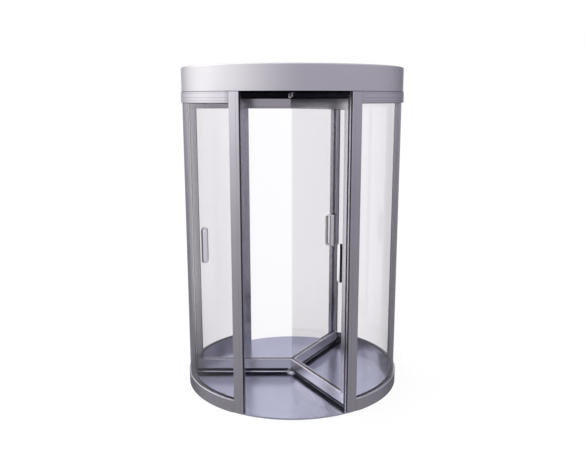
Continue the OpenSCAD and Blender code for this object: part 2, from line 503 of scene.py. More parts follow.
class Sheet(Graph):
    """The node tree of one material."""

    def __init__(self, name: str) -> None:
        """Makes the material with an empty tree.

        Args:
            name: The material's name.
        """
        self.material = bpy.data.materials.new(name)
        self.material.use_nodes = True
        super().__init__(self.material.node_tree)
        self.object = self.node("ShaderNodeTexCoord").outputs["Object"]

    def finish(self, shader: bpy.types.NodeSocket) -> bpy.types.Material:
        """Joins the shader to the output and returns the material."""
        self.node("ShaderNodeOutputMaterial", {"Surface": shader})
        return self.material

    def noise(self, vector: Value, scale: float, detail: float = 2.0) -> bpy.types.NodeSocket:
        """Adds a noise of about 0 to 1.

        Args:
            vector: Where the noise is read.
            scale: How fine it is.
            detail: How many finer layers it has.

        Returns:
            The noise.
        """
        made = self.node("ShaderNodeTexNoise",
                         {"Vector": vector, "Scale": scale, "Detail": detail})
        return made.outputs[0]

    def shade(self, colour: Colour, by: bpy.types.NodeSocket) -> bpy.types.NodeSocket:
        """Returns a colour made lighter or darker by a factor near 1."""
        red, green, blue = (self.math("MULTIPLY", by, part) for part in colour)
        return self.node("ShaderNodeCombineColor", {0: red, 1: green, 2: blue}).outputs[0]

    def grain(self, direction: Grain, heading: float) -> bpy.types.NodeSocket:
        """Returns a fine streaky noise.

        Args:
            direction: How the streaks run.
            heading: For ALONG, the streaks' angle about Z.

        Returns:
            The noise.
        """
        if direction is Grain.ROUND:
            x, y, z = self.node("ShaderNodeSeparateXYZ", {0: self.object}).outputs
            turned = self.xyz(self.math("MULTIPLY", self.math("ARCTAN2", y, x), GRAIN_LONG),
                              self.math("MULTIPLY", self.length_of(x, y), GRAIN_FINE),
                              self.math("MULTIPLY", z, GRAIN_FINE))
            return self.noise(turned, 1.0)
        long_way = 1 / GRAIN_LONG
        fine_way = 1 / GRAIN_FINE
        upright = direction is Grain.UPRIGHT
        scale = (fine_way, fine_way, long_way) if upright else (long_way, fine_way, fine_way)
        turned = self.node("ShaderNodeMapping",
                           {"Vector": self.object, "Rotation": (0, 0, heading),
                            "Scale": scale}, vector_type="TEXTURE")
        return self.noise(turned.outputs[0], 1.0)


@dataclass(frozen=True)
class SatinMetal:
    """Metal with a fine grain, faint clouds, and edges rubbed brighter."""

    name: str
    tint: Colour
    roughness: float
    grain: Grain
    heading: float = 0.0
    grain_depth: float = 0.04
    cloud: float = 0.02
    streak: float = 0.010
    glance: Colour = (0.45, 0.45, 0.46)
    metallic: float = 1.0
    dust_height: float = 0.0

    CLOUD_SCALE = 3.1
    CLOUD_DETAIL = 3.0
    CLOUD_ROUGHNESS = 0.015
    PATCH_SCALE = 23.0
    PATCH_RANGE = (0.35, 0.75)
    WORN_LIGHTER = 0.06
    WORN_SMOOTHER = 0.04
    DUST_SCALE = 90.0
    DUST_RANGE = (0.35, 0.65)
    DUST_DARKER = 0.03
    DUST_ROUGHER = 0.04
    BUMP_DISTANCE = 0.0002

    def material(self) -> bpy.types.Material:
        """Builds the material.

        Returns:
            The material.
        """
        sheet = Sheet(self.name)
        grain = sheet.grain(self.grain, self.heading)
        cloud = sheet.noise(sheet.object, self.CLOUD_SCALE, self.CLOUD_DETAIL)
        worn = sheet.node("ShaderNodeAttribute", attribute_name=WEAR).outputs["Fac"]
        patchy = sheet.math("MULTIPLY", worn, sheet.spread(
            sheet.noise(sheet.object, self.PATCH_SCALE), *self.PATCH_RANGE))
        streaks = sheet.spread(grain, *NOISE_RANGE, -self.streak, self.streak)
        tone = sheet.math("ADD", sheet.spread(cloud, *NOISE_RANGE, 1 - self.cloud,
                                              1 + self.cloud), streaks)
        tone = sheet.math("ADD", tone, sheet.math("MULTIPLY", patchy, self.WORN_LIGHTER))
        rough = sheet.math("ADD", sheet.spread(
            cloud, *NOISE_RANGE, self.roughness - self.CLOUD_ROUGHNESS,
            self.roughness + self.CLOUD_ROUGHNESS), streaks)
        rough = sheet.math("SUBTRACT", rough, sheet.math("MULTIPLY", patchy,
                                                         self.WORN_SMOOTHER))
        if self.dust_height:
            z = sheet.node("ShaderNodeSeparateXYZ", {0: sheet.object}).outputs[2]
            speckle = sheet.spread(sheet.noise(sheet.object, self.DUST_SCALE),
                                   *self.DUST_RANGE)
            dust = sheet.math("MULTIPLY", speckle,
                              sheet.spread(z, 0.0, self.dust_height, 1.0, 0.0))
            tone = sheet.math("SUBTRACT", tone, sheet.math("MULTIPLY", dust,
                                                           self.DUST_DARKER))
            rough = sheet.math("ADD", rough, sheet.math("MULTIPLY", dust, self.DUST_ROUGHER))
        bump = sheet.node("ShaderNodeBump", {"Height": grain, "Strength": self.grain_depth,
                                             "Distance": self.BUMP_DISTANCE})
        metal = sheet.node("ShaderNodeBsdfPrincipled",
                           {"Base Color": sheet.shade(self.tint, tone), "Roughness": rough,
                            "Metallic": self.metallic, "Specular Tint": (*self.glance, 1.0),
                            "Normal": bump.outputs[0]})
        return sheet.finish(metal.outputs[0])


@dataclass(frozen=True)
class DarkRubber:
    """Rubber, brush hair or black paint, with a soft uneven surface."""

    name: str
    tint: Colour
    roughness: float
    speckle_scale: float = 240.0
    speckle_depth: float = 0.15
    gloss: float = 0.25

    CLOUD_SCALE = 9.0
    CLOUD_DETAIL = 3.0
    CLOUD_TONE = (0.8, 1.2)
    SPECKLE_TONE = 0.15
    SPECKLE_ROUGHNESS = 0.07
    BUMP_DISTANCE = 0.0004

    def material(self) -> bpy.types.Material:
        """Builds the material.

        Returns:
            The material.
        """
        sheet = Sheet(self.name)
        cloud = sheet.noise(sheet.object, self.CLOUD_SCALE, self.CLOUD_DETAIL)
        speckle = sheet.noise(sheet.object, self.speckle_scale)
        tone = sheet.math("ADD", sheet.spread(cloud, *NOISE_RANGE, *self.CLOUD_TONE),
                          sheet.spread(speckle, *NOISE_RANGE, -self.SPECKLE_TONE,
                                       self.SPECKLE_TONE))
        rough = sheet.spread(speckle, *NOISE_RANGE, self.roughness - self.SPECKLE_ROUGHNESS,
                             self.roughness + self.SPECKLE_ROUGHNESS)
        bump = sheet.node("ShaderNodeBump", {"Height": speckle, "Strength": self.speckle_depth,
                                             "Distance": self.BUMP_DISTANCE})
        rubber = sheet.node("ShaderNodeBsdfPrincipled",
                            {"Base Color": sheet.shade(self.tint, tone), "Roughness": rough,
                             "Specular IOR Level": self.gloss,
                             "Normal": bump.outputs[0]})
        return sheet.finish(rubber.outputs[0])


@dataclass(frozen=True)
class ClearGlass:
    """Clear pane: what is behind it shows through, dimmer at a slant."""

    name: str
    tint: Colour
    head_on: float = 0.022
    smear: float = 0.03
    slant_share: float = 0.30
    slant_loss: float = 0.10
    rim_loss: float = 0.22

    SLANT_POWER = 5.0
    RIM_POWER = 6.0
    SMEAR_SCALE = 5.0
    SMEAR_DETAIL = 4.0
    SMEAR_RANGE = (0.45, 0.75)

    def material(self) -> bpy.types.Material:
        """Builds the material.

        Returns:
            The material.
        """
        sheet = Sheet(self.name)
        facing = sheet.node("ShaderNodeLayerWeight", {"Blend": 0.5}).outputs["Facing"]
        slant = sheet.math("MULTIPLY", sheet.math("POWER", facing, self.SLANT_POWER),
                           self.slant_share)
        share = sheet.math("ADD", slant, self.head_on)
        through = sheet.math("SUBTRACT", 1.0, sheet.math("MULTIPLY", facing, self.slant_loss))
        through = sheet.math("SUBTRACT", through, sheet.math(
            "MULTIPLY", sheet.math("POWER", facing, self.RIM_POWER), self.rim_loss))
        clear = sheet.node("ShaderNodeBsdfTransparent",
                           {"Color": sheet.shade(self.tint, through)})
        smears = sheet.spread(sheet.noise(sheet.object, self.SMEAR_SCALE, self.SMEAR_DETAIL),
                              *self.SMEAR_RANGE, 0.0, self.smear)
        gloss = sheet.node("ShaderNodeBsdfGlossy",
                           {"Color": (1.0, 1.0, 1.0, 1.0), "Roughness": smears})
        pane = sheet.node("ShaderNodeMixShader",
                          {0: share, 1: clear.outputs[0], 2: gloss.outputs[0]})
        return sheet.finish(pane.outputs[0])


@dataclass(frozen=True)
class Finishes:
    """The door's materials that every sub-assembly uses."""

    upright: bpy.types.Material
    stile: bpy.types.Material
    round: bpy.types.Material
    canopy: bpy.types.Material
    plate: bpy.types.Material
    bright: bpy.types.Material
    nickel: bpy.types.Material
    dark: bpy.types.Material
    rubber: bpy.types.Material
    hair: bpy.types.Material
    silicone: bpy.types.Material
    paint: bpy.types.Material
    glass: bpy.types.Material

    ALUMINIUM = (0.445, 0.435, 0.462)
    # The wings' rails share one satin aluminium: lighter on the bottom rails as painted light,
    # darker on the top rails as painted shade.
    WING_BOTTOM_LIT_TINT = (0.62, 0.61, 0.64)
    WING_TOP_SHADED_TINT = (0.40, 0.395, 0.41)

    @classmethod
    def make(cls) -> "Finishes":
        """Builds the materials.

        Returns:
            The finishes.
        """
        return cls(
            upright=SatinMetal("satin_aluminium_upright", cls.ALUMINIUM, 0.21, Grain.UPRIGHT,
                               dust_height=0.25).material(),
            stile=SatinMetal("satin_aluminium_stile", cls.ALUMINIUM, 0.17, Grain.UPRIGHT,
                             grain_depth=0.02, streak=0.006, metallic=0.85).material(),
            round=SatinMetal("satin_aluminium_round", cls.ALUMINIUM, 0.21, Grain.ROUND,
                             dust_height=0.12).material(),
            canopy=SatinMetal("canopy_aluminium", (0.478, 0.472, 0.484), 0.21, Grain.ROUND,
                              grain_depth=0.03, cloud=0.01).material(),
            plate=SatinMetal("floor_steel", (0.52, 0.53, 0.615), 0.22, Grain.ROUND,
                             cloud=0.04).material(),
            bright=SatinMetal("bright_steel", (0.96, 0.955, 0.965), 0.12, Grain.UPRIGHT,
                              grain_depth=0.02, cloud=0.01, metallic=0.35).material(),
            nickel=SatinMetal("satin_nickel", (0.93, 0.92, 0.94), 0.28, Grain.ROUND,
                              metallic=0.6).material(),
            # Dark steel for the floor bearing's collar and both pivots: painted shade at the hub.
            dark=SatinMetal("painted_shade_steel", (0.17, 0.165, 0.18), 0.25, Grain.UPRIGHT).material(),
            rubber=DarkRubber("black_rubber", (0.012, 0.012, 0.014), 0.55).material(),
            hair=DarkRubber("brush_hair", (0.034, 0.032, 0.045), 0.6, 900.0, gloss=0.25).material(),
            silicone=DarkRubber("grey_silicone", (0.22, 0.22, 0.24), 0.4).material(),
            paint=DarkRubber("black_paint", (0.006, 0.005, 0.007), 0.8, 500.0, 0.1, 0.0).material(),
            glass=ClearGlass("clear_glass", (0.985, 0.98, 0.987)).material())

    @classmethod
    def along(cls, name: str, tint: Colour, heading: float) -> bpy.types.Material:
        """Returns satin aluminium grained along a wing's rail, with painted light and shade in its
        tint.
        """
        return SatinMetal(f"satin_aluminium_{name}", tint, 0.15, Grain.ALONG, heading, 0.02,
                          streak=0.006, metallic=0.82).material()


# ---- The door's layout ----


@dataclass(frozen=True)
class Layout:
    """Radii, heights and angles of the door, read from the CAD nodes."""

    outer_r: float
    inner_r: float
    rail_r: float
    pane_inner_r: float
    pane_outer_r: float
    base_top: float
    head_low: float
    ceiling_z: float
    top_z: float
    floor_top: float
    doorway_half: float
    wall_half: float
    mullion_half: float

    WALL_DEPTH = 0.040
    PANE_T = 0.010

    @classmethod
    def read(cls) -> "Layout":
        """Reads the layout from the frame.

        Returns:
            The layout.
        """
        mullion_low, mullion_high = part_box("left_mullion")
        rail_low, rail_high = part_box("left_base_rail")
        head_low, head_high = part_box("left_head_rail")
        post_low, post_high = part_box("left_front_post")
        outer_r = -mullion_low.x
        inner_r = outer_r - cls.WALL_DEPTH
        middle_r = (outer_r + inner_r) / 2
        return cls(
            outer_r=outer_r, inner_r=inner_r, rail_r=-rail_low.x,
            pane_inner_r=middle_r - cls.PANE_T / 2, pane_outer_r=middle_r + cls.PANE_T / 2,
            base_top=rail_high.z, head_low=head_low.z, ceiling_z=head_high.z,
            top_z=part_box("canopy_fascia")[1].z, floor_top=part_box("floor_plate")[1].z,
            doorway_half=math.asin(-post_high.x / inner_r),
            wall_half=math.acos(-post_low.x / outer_r),
            mullion_half=math.asin(mullion_high.y / outer_r))


def polar(radius: float, angle: float, z: float) -> Vector:
    """Returns the point at a radius, an angle about the axis and a height."""
    return Vector((radius * math.cos(angle), radius * math.sin(angle), z))


class Bender(ShapeGraph):
    """Sweeps a section of radius and height round the door's axis."""

    STEP = math.radians(1.25)

    def __init__(self) -> None:
        """Builds the group: a straight sweep whose length becomes an angle."""
        super().__init__("swept_round_axis", {"From": float, "To": float, "Steps": int,
                                              "Caps": bool})
        section = self.node("GeometryNodeMeshToCurve", {0: self.inlet["Geometry"]})
        line = self.node("GeometryNodeCurvePrimitiveLine",
                         {"Start": self.xyz(0.0, self.inlet["From"], 0.0),
                          "End": self.xyz(0.0, self.inlet["To"], 0.0)})
        path = self.node("GeometryNodeResampleCurve",
                         {"Curve": line.outputs[0], "Count": self.inlet["Steps"]})
        level = self.node("GeometryNodeSetCurveNormal", {0: path.outputs[0]}, mode="Z_UP")
        swept = self.node("GeometryNodeCurveToMesh",
                          {"Curve": level.outputs[0], "Profile Curve": section.outputs[0],
                           "Fill Caps": self.inlet["Caps"]})
        place = self.node("GeometryNodeInputPosition").outputs[0]
        radius, angle, z = self.node("ShaderNodeSeparateXYZ", {0: place}).outputs
        bent = self.xyz(self.math("MULTIPLY", radius, self.math("COSINE", angle)),
                        self.math("MULTIPLY", radius, self.math("SINE", angle)), z)
        moved = self.node("GeometryNodeSetPosition", {0: swept.outputs[0], "Position": bent})
        whole = self.node("GeometryNodeMergeByDistance",
                          {0: moved.outputs[0], "Distance": MERGE})
        self.end(whole.outputs[0])

    def sweep(self, outline: Outline, start: float, stop: float,
              material: bpy.types.Material) -> bpy.types.Mesh:
        """Sweeps a section.

        Args:
            outline: Radius and height of the section's points.
            start: The angle where the sweep starts.
            stop: The angle where it stops. A full turn closes on itself.
            material: What the result is dressed in.

        Returns:
            The swept mesh.
        """
        section = bpy.data.meshes.new("section")
        count = len(outline.points)
        section.from_pydata([(r, -z, 0) for r, z in outline.points],
                            [(i, (i + 1) % count) for i in range(count)], [])
        section.attributes.new(WEAR, "FLOAT", "POINT").data.foreach_set("value", outline.wear)
        steps = max(2, math.ceil((stop - start) / self.STEP) + 1)
        return self.run(section, From=start, To=stop, Steps=steps,
                        Caps=stop - start < math.tau - MERGE, Material=material)


# ---- The drum ----


@dataclass
class DrumWalls:
    """The two curved glass walls: posts, mullions, rails, panes and their seals."""

    layout: Layout
    finishes: Finishes
    bender: Bender
    fitter: Fitter
    edge_r: float = 0.0020
    rail_edge_r: float = 0.0028
    strip_w: float = 0.020
    strip_inset: float = 0.0022
    strip_t: float = 0.003
    cap_joint: float = 0.024
    gasket_w: float = 0.0032
    inner_gasket_w: float = 0.0130
    gasket_h: float = 0.0036
    bead_w: float = 0.0030
    bead_t: float = 0.0014
    bead_sunk: float = 0.0002
    bead_edge_r: Point = (0.0005, 0.0003)
    gasket_foot_r: float = 0.0004
    gasket_edge_r: float = 0.0006
    back_edge_r: float = 0.001
    pane_arris: float = 0.0012
    strip_proud: float = 0.0008
    strip_gap: float = 0.0005
    strip_end: float = 0.001
    face_step: float = 0.012
    head_grooves: tuple[float, ...] = (0.010, 0.042, 0.062)
    head_groove_size: tuple[float, float] = (0.0016, 0.0009)

    END_ANGLE = 0.001
    WALLS = {"left": math.pi, "right": 0.0}
    DOORWAYS = {"front": -math.pi / 2, "rear": math.pi / 2}

    def build(self) -> None:
        """Builds every piece of both walls."""
        for side in self.WALLS:
            self.rails(side)
            self.mullion(side)
            for end in self.DOORWAYS:
                self.post(side, end)
                self.pane(side, end)

    def rails(self, side: str) -> None:
        """Builds a wall's base rail and head rail.

        Args:
            side: The wall, left or right.
        """
        lay = self.layout
        span = (self.WALLS[side] - lay.wall_half, self.WALLS[side] + lay.wall_half)
        back_r = self.back_edge_r
        base = Outline.box((lay.inner_r, 0), (lay.rail_r, lay.base_top),
                           (back_r, back_r, self.rail_edge_r, back_r))
        grooves = [corner for drop in reversed(self.head_grooves)
                   for corner in groove(lay.rail_r, lay.ceiling_z - drop, (0, 1),
                                        *self.head_groove_size)]
        head = Outline.rounded([
            (lay.inner_r, lay.head_low, back_r), (lay.rail_r, lay.head_low, self.edge_r),
            *grooves,
            (lay.rail_r, lay.ceiling_z, back_r), (lay.inner_r, lay.ceiling_z, back_r)])
        for node, outline in (("base_rail", base), ("head_rail", head)):
            swept = self.bender.sweep(outline, *span, self.finishes.round)
            self.flush_ends(swept, self.WALLS[side])
            self.fitter.fit(f"{side}_{node}_section", [swept], self.finishes.round, DRUM,
                            "frame", [f"{side}_{node}"])

    def flush_ends(self, rail: bpy.types.Mesh, middle: float) -> None:
        """Slopes a proud rail's ends down to the posts' outer face.

        Args:
            rail: The swept rail.
            middle: The angle of its wall's middle.
        """
        lay = self.layout
        proud = lay.rail_r - lay.outer_r
        for vertex in rail.vertices:
            x, y, z = vertex.co
            radius = math.hypot(x, y)
            off = abs(math.remainder(math.atan2(y, x) - middle, math.tau))
            if off > lay.wall_half - self.END_ANGLE and radius > lay.outer_r:
                vertex.co = Vector((x, y, 0)) * (1 - proud / radius) + Vector((0, 0, z))

    def mullion(self, side: str) -> None:
        """Builds the upright in the middle of a wall.

        Args:
            side: The wall, left or right.
        """
        lay = self.layout
        half = lay.mullion_half * lay.outer_r
        outline = Outline.box((-half, lay.inner_r), (half, lay.outer_r), (self.edge_r,) * 4)
        middle = self.WALLS[side]
        self.upright(f"{side}_mullion", outline, lambda t: middle + t / lay.outer_r,
                     lay.base_top, lay.head_low)

    def upright(self, node: str, outline: Outline, angle: Callable[[float], float],
                low: float, high: float) -> None:
        """Fits an upright whose section is drawn along the wall and across it.

        Args:
            node: The CAD node that it stands for.
            outline: The section.
            angle: Gives the angle about the axis from a place along the wall.
            low: The height where the upright starts.
            high: The height where it ends.
        """
        mesh = prism(outline.subdivided(self.face_step),
                     lambda t, r, z: polar(r, angle(t), z), (low, high))
        self.fitter.fit(f"{node}_section", [mesh], self.finishes.upright, DRUM, "frame", [node])

    def doorway_side(self, side: str, end: str) -> tuple[float, float]:
        """Finds a post's doorway face.

        Args:
            side: The post's wall, left or right.
            end: Its doorway, front or rear.

        Returns:
            The face's angle, and 1 or -1 for the way from there to the wall.
        """
        doorway = self.DOORWAYS[end]
        way = 1 if (side == "right") == (end == "front") else -1
        return doorway + way * self.layout.doorway_half, way

    def post(self, side: str, end: str) -> None:
        """Builds a doorway post with the rubber strip in its doorway face.

        Args:
            side: The post's wall, left or right.
            end: Its doorway, front or rear.
        """
        lay = self.layout
        edge, way = self.doorway_side(side, end)
        width = (math.pi / 2 - lay.doorway_half - lay.wall_half) * lay.outer_r
        out = lay.outer_r
        strip_out = out - self.strip_inset
        strip_in = strip_out - self.strip_w
        outline = Outline.rounded([
            (0, lay.inner_r, self.edge_r), (width, lay.inner_r, self.edge_r),
            (width, out, self.edge_r),
            *groove(self.cap_joint, out, (-1, 0), *JOINT_GROOVE),
            (0, out, self.edge_r),
            (0, strip_out, 0), (self.strip_t, strip_out, 0),
            (self.strip_t, strip_in, 0), (0, strip_in, 0)])
        self.upright(f"{side}_{end}_post", outline, lambda t: edge + way * t / out,
                     0, lay.ceiling_z)
        proud, gap = self.strip_proud, self.strip_gap
        strip = Outline.box((-proud, strip_in + gap), (self.strip_t - CLEAR, strip_out - gap),
                            (proud, 0, 0, proud))
        mesh = prism(strip, lambda t, r, z: polar(r, edge + way * t / out, z),
                     (lay.floor_top + self.strip_end, lay.ceiling_z - self.strip_end))
        self.fitter.fit(f"{side}_{end}_jamb_strip", [mesh], self.finishes.rubber, DRUM, "seals")

    def pane(self, side: str, end: str) -> None:
        """Builds a curved pane with its gaskets and its upright beads.

        Args:
            side: The pane's wall, left or right.
            end: The doorway that it is next to, front or rear.
        """
        lay = self.layout
        node = f"{side}_{end}_glass"
        low, high = lay.base_top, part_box(node)[1].z
        clearance = (lay.head_low - high) / lay.outer_r
        wall = self.WALLS[side]
        near = lay.mullion_half + clearance
        far = lay.wall_half - clearance
        turn = 1 if (side == "left") == (end == "front") else -1
        start, stop = sorted((wall + turn * near, wall + turn * far))
        inner, outer = lay.pane_inner_r, lay.pane_outer_r
        outline = Outline.box((inner, low), (outer, high), (self.pane_arris,) * 4, steps=2)
        swept = self.bender.sweep(outline, start, stop, self.finishes.glass)
        self.fitter.fit(f"{side}_{end}_pane", [swept], self.finishes.glass, DRUM, "glass", [node])
        wedges = []
        for face, out, wide in ((inner - CLEAR, -1, self.inner_gasket_w),
                                (outer + CLEAR, 1, self.gasket_w)):
            for level, up in ((low, 1), (lay.head_low, -1)):
                wedge = Outline.rounded([
                    (face, level, 0), (face + out * wide, level, self.gasket_foot_r),
                    (face + out * wide, level + up * GASKET_TOE, self.gasket_edge_r),
                    (face, level + up * self.gasket_h, self.gasket_edge_r)], steps=2)
                wedges.append(self.bender.sweep(wedge, start, stop, self.finishes.rubber))
        self.fitter.fit(f"{side}_{end}_gaskets", wedges, self.finishes.rubber, DRUM, "seals")
        beads = []
        slope_r, foot_r = self.bead_edge_r
        for angle, inward in ((start, 1), (stop, -1)):
            for face, out in ((inner, -1), (outer, 1)):
                top = face + out * self.bead_t
                bead = Outline.rounded([
                    (-self.bead_sunk, face, 0), (self.bead_w, face, 0),
                    (self.bead_w / 2, top, slope_r), (-self.bead_sunk, top, foot_r)], steps=2)
                beads.append(prism(
                    bead, lambda t, r, z, a=angle, i=inward: polar(r, a + i * t / outer, z),
                    (low + self.gasket_h, high - self.gasket_h)))
        self.fitter.fit(f"{side}_{end}_beads", beads, self.finishes.silicone, DRUM, "seals")


class ScrewRing(ShapeGraph):
    """Places copies of a screw head on a circle."""

    SEED = 4
    SIDES = 12
    PROFILE = ((0, 0), (1, 0), (1, 0.55), (0.78, 1), (0.46, 1), (0.40, 0.45), (0, 0.45))

    def __init__(self) -> None:
        """Builds the group and the head that it copies."""
        super().__init__("screws_on_a_circle", {
            "Count": int, "Radius": float, "Head": bpy.types.Object,
            "Place": Vector, "Turn": Vector})
        circle = self.node("GeometryNodeMeshCircle",
                           {"Vertices": self.inlet["Count"], "Radius": self.inlet["Radius"]})
        head = self.node("GeometryNodeObjectInfo", {"Object": self.inlet["Head"]})
        spin = self.node("FunctionNodeRandomValue", {6: 0, "Max": math.tau, "Seed": self.SEED},
                         data_type="FLOAT")
        heads = self.node("GeometryNodeInstanceOnPoints",
                          {"Points": circle.outputs[0], "Instance": head.outputs["Geometry"],
                           "Rotation": self.xyz(0.0, 0.0, spin.outputs[1])})
        placed = self.node("GeometryNodeTransform",
                           {0: heads.outputs[0], "Translation": self.inlet["Place"],
                            "Rotation": self.inlet["Turn"]})
        self.end(placed.outputs[0])

    @classmethod
    def head(cls, radius: float, height: float) -> bpy.types.Object:
        """Makes a low round head with a socket, as an object to copy.

        Args:
            radius: The head's radius.
            height: Its height.

        Returns:
            The object, which is linked to the scene until it is removed.
        """
        profile = [(radius * across, height * up) for across, up in cls.PROFILE]
        made = bpy.data.objects.new("screw_head", Skin().lathe(profile, cls.SIDES).mesh())
        bpy.context.scene.collection.objects.link(made)
        return made

    def place(self, count: int, radius: float, head: Point, place: Vector,
              turn: tuple[float, float, float], material: bpy.types.Material) -> bpy.types.Mesh:
        """Places the screws.

        Args:
            count: How many there are.
            radius: The circle's radius.
            head: Radius and height of a head.
            place: The circle's middle.
            turn: The circle's rotation. Unturned, it lies flat, heads up.
            material: What they are dressed in.

        Returns:
            One mesh of all the heads.
        """
        copied = self.head(*head)
        made = self.run(bpy.data.meshes.new("none"), Count=count, Radius=radius, Head=copied,
                        Place=place, Turn=turn, Material=material)
        bpy.data.objects.remove(copied)
        return made


@dataclass
class Canopy:
    """The round fascia with its roof, the black ceiling and its bearing."""

    layout: Layout
    finishes: Finishes
    bender: Bender
    screws: ScrewRing
    fitter: Fitter
    head_joint: float = 0.003
    sheet_t: float = 0.003
    roll_r: float = 0.008
    flange_w: float = 0.028
    lip_h: float = 0.014
    lip_proud: float = 0.0015
    seam: float = 0.0012
    lip_r: float = 0.0010
    lip_slope: float = 0.0006
    cut_r: float = 0.0004
    flange_r: float = 0.0006
    strap_t: float = 0.002
    strap_foot: float = 0.004
    strap_head: float = 0.010
    strap_half: float = 0.03
    bearing_r: float = 0.025
    bearing_edge_r: float = 0.006
    bore_r: float = 0.01205
    bore_edge_r: float = 0.001
    roof_screws: int = 24
    screw_size: Point = (0.0055, 0.0026)
    screw_inset: float = 0.012

    def build(self) -> None:
        """Builds the canopy's pieces."""
        self.fascia()
        self.bearing()
        self.fitter.dress(["canopy_roof"], self.finishes.canopy)
        self.fitter.dress(["ceiling_panel"], self.finishes.paint)
        roof_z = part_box("canopy_roof")[1].z
        ring = self.screws.place(
            self.roof_screws, self.layout.outer_r - self.flange_w - self.screw_inset,
            self.screw_size, Vector((0, 0, roof_z)), (0, 0, 0), self.finishes.bright)
        self.fitter.fit("canopy_roof_screws", [ring], self.finishes.bright, DRUM, "canopy")

    def fascia(self) -> None:
        """Builds the fascia of two rolled sheets that meet over the mullions."""
        lay = self.layout
        low = lay.ceiling_z + self.head_joint
        out = lay.outer_r
        lip = out + self.lip_proud
        back = out - self.sheet_t
        top = lay.top_z
        flange = out - self.flange_w
        outline = Outline.rounded([
            (back, low, self.cut_r), (lip, low, self.lip_r), (lip, low + self.lip_h, self.lip_r),
            (out, low + self.lip_h + self.lip_slope, 0), (out, top, self.roll_r),
            (flange, top, self.flange_r), (flange, top - self.sheet_t, self.cut_r),
            (back, top - self.sheet_t, self.roll_r - self.sheet_t)], steps=6)
        half_seam = self.seam / 2 / out
        sheets = [self.bender.sweep(outline, start + half_seam, start + math.pi - half_seam,
                                    self.finishes.canopy) for start in (0.0, math.pi)]
        strap = Outline.box((back - self.strap_t, low + self.strap_foot),
                            (back - CLEAR, top - self.strap_head))
        straps = [self.bender.sweep(strap, middle - self.strap_half, middle + self.strap_half,
                                    self.finishes.canopy) for middle in (0.0, math.pi)]
        self.fitter.fit("canopy_fascia_sheets", sheets + straps, self.finishes.canopy, DRUM,
                        "canopy", ["canopy_fascia"])

    def bearing(self) -> None:
        """Builds the round bearing under the ceiling."""
        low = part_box("ceiling_bearing")[0].z
        high = self.layout.ceiling_z
        outline = Outline.box((self.bore_r, low), (self.bearing_r, high - CLEAR),
                              (self.bore_edge_r, self.bearing_edge_r, 0, 0), steps=6)
        ring = self.bender.sweep(outline, 0.0, math.tau, self.finishes.round)
        self.fitter.fit("ceiling_bearing_ring", [ring], self.finishes.round, DRUM, "frame",
                        ["ceiling_bearing"])


@dataclass
class Floor:
    """The floor plate and the round bearing in its middle."""

    layout: Layout
    finishes: Finishes
    bender: Bender
    fitter: Fitter
    bearing_r: float = 0.045
    flange_h: float = 0.013
    flange_edge_r: float = 0.004
    collar_r: float = 0.029
    collar_t: float = 0.004
    collar_edge_r: float = 0.003
    cut_r: float = 0.0005
    hub_drop: float = 0.002
    bore_r: float = 0.01705

    def build(self) -> None:
        """Builds the floor's pieces."""
        self.fitter.dress(["floor_plate"], self.finishes.plate)
        low, high = self.layout.floor_top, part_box("floor_bearing")[1].z
        shoulder = low + self.flange_h
        sleeve_in = self.collar_r - self.collar_t
        hub_top = high - self.hub_drop
        flange = Outline.rounded([
            (self.bore_r, low, 0), (self.bearing_r, low, self.cut_r),
            (self.bearing_r, shoulder, self.flange_edge_r), (sleeve_in, shoulder, 0),
            (sleeve_in, hub_top, 0), (self.bore_r, hub_top, 0)], steps=5)
        ring = self.bender.sweep(flange, 0.0, math.tau, self.finishes.nickel)
        self.fitter.fit("floor_bearing_ring", [ring], self.finishes.nickel, DRUM, "pivots",
                        ["floor_bearing"])
        # The dark collar above the bright flange is painted shade at the hub.
        collar = Outline.box((sleeve_in + CLEAR, shoulder + CLEAR), (self.collar_r, high),
                             (0, self.cut_r, self.collar_edge_r, self.cut_r))
        sleeve = self.bender.sweep(collar, 0.0, math.tau, self.finishes.dark)
        self.fitter.fit("floor_bearing_collar", [sleeve], self.finishes.dark, DRUM, "pivots")


# ---- The rotor ----


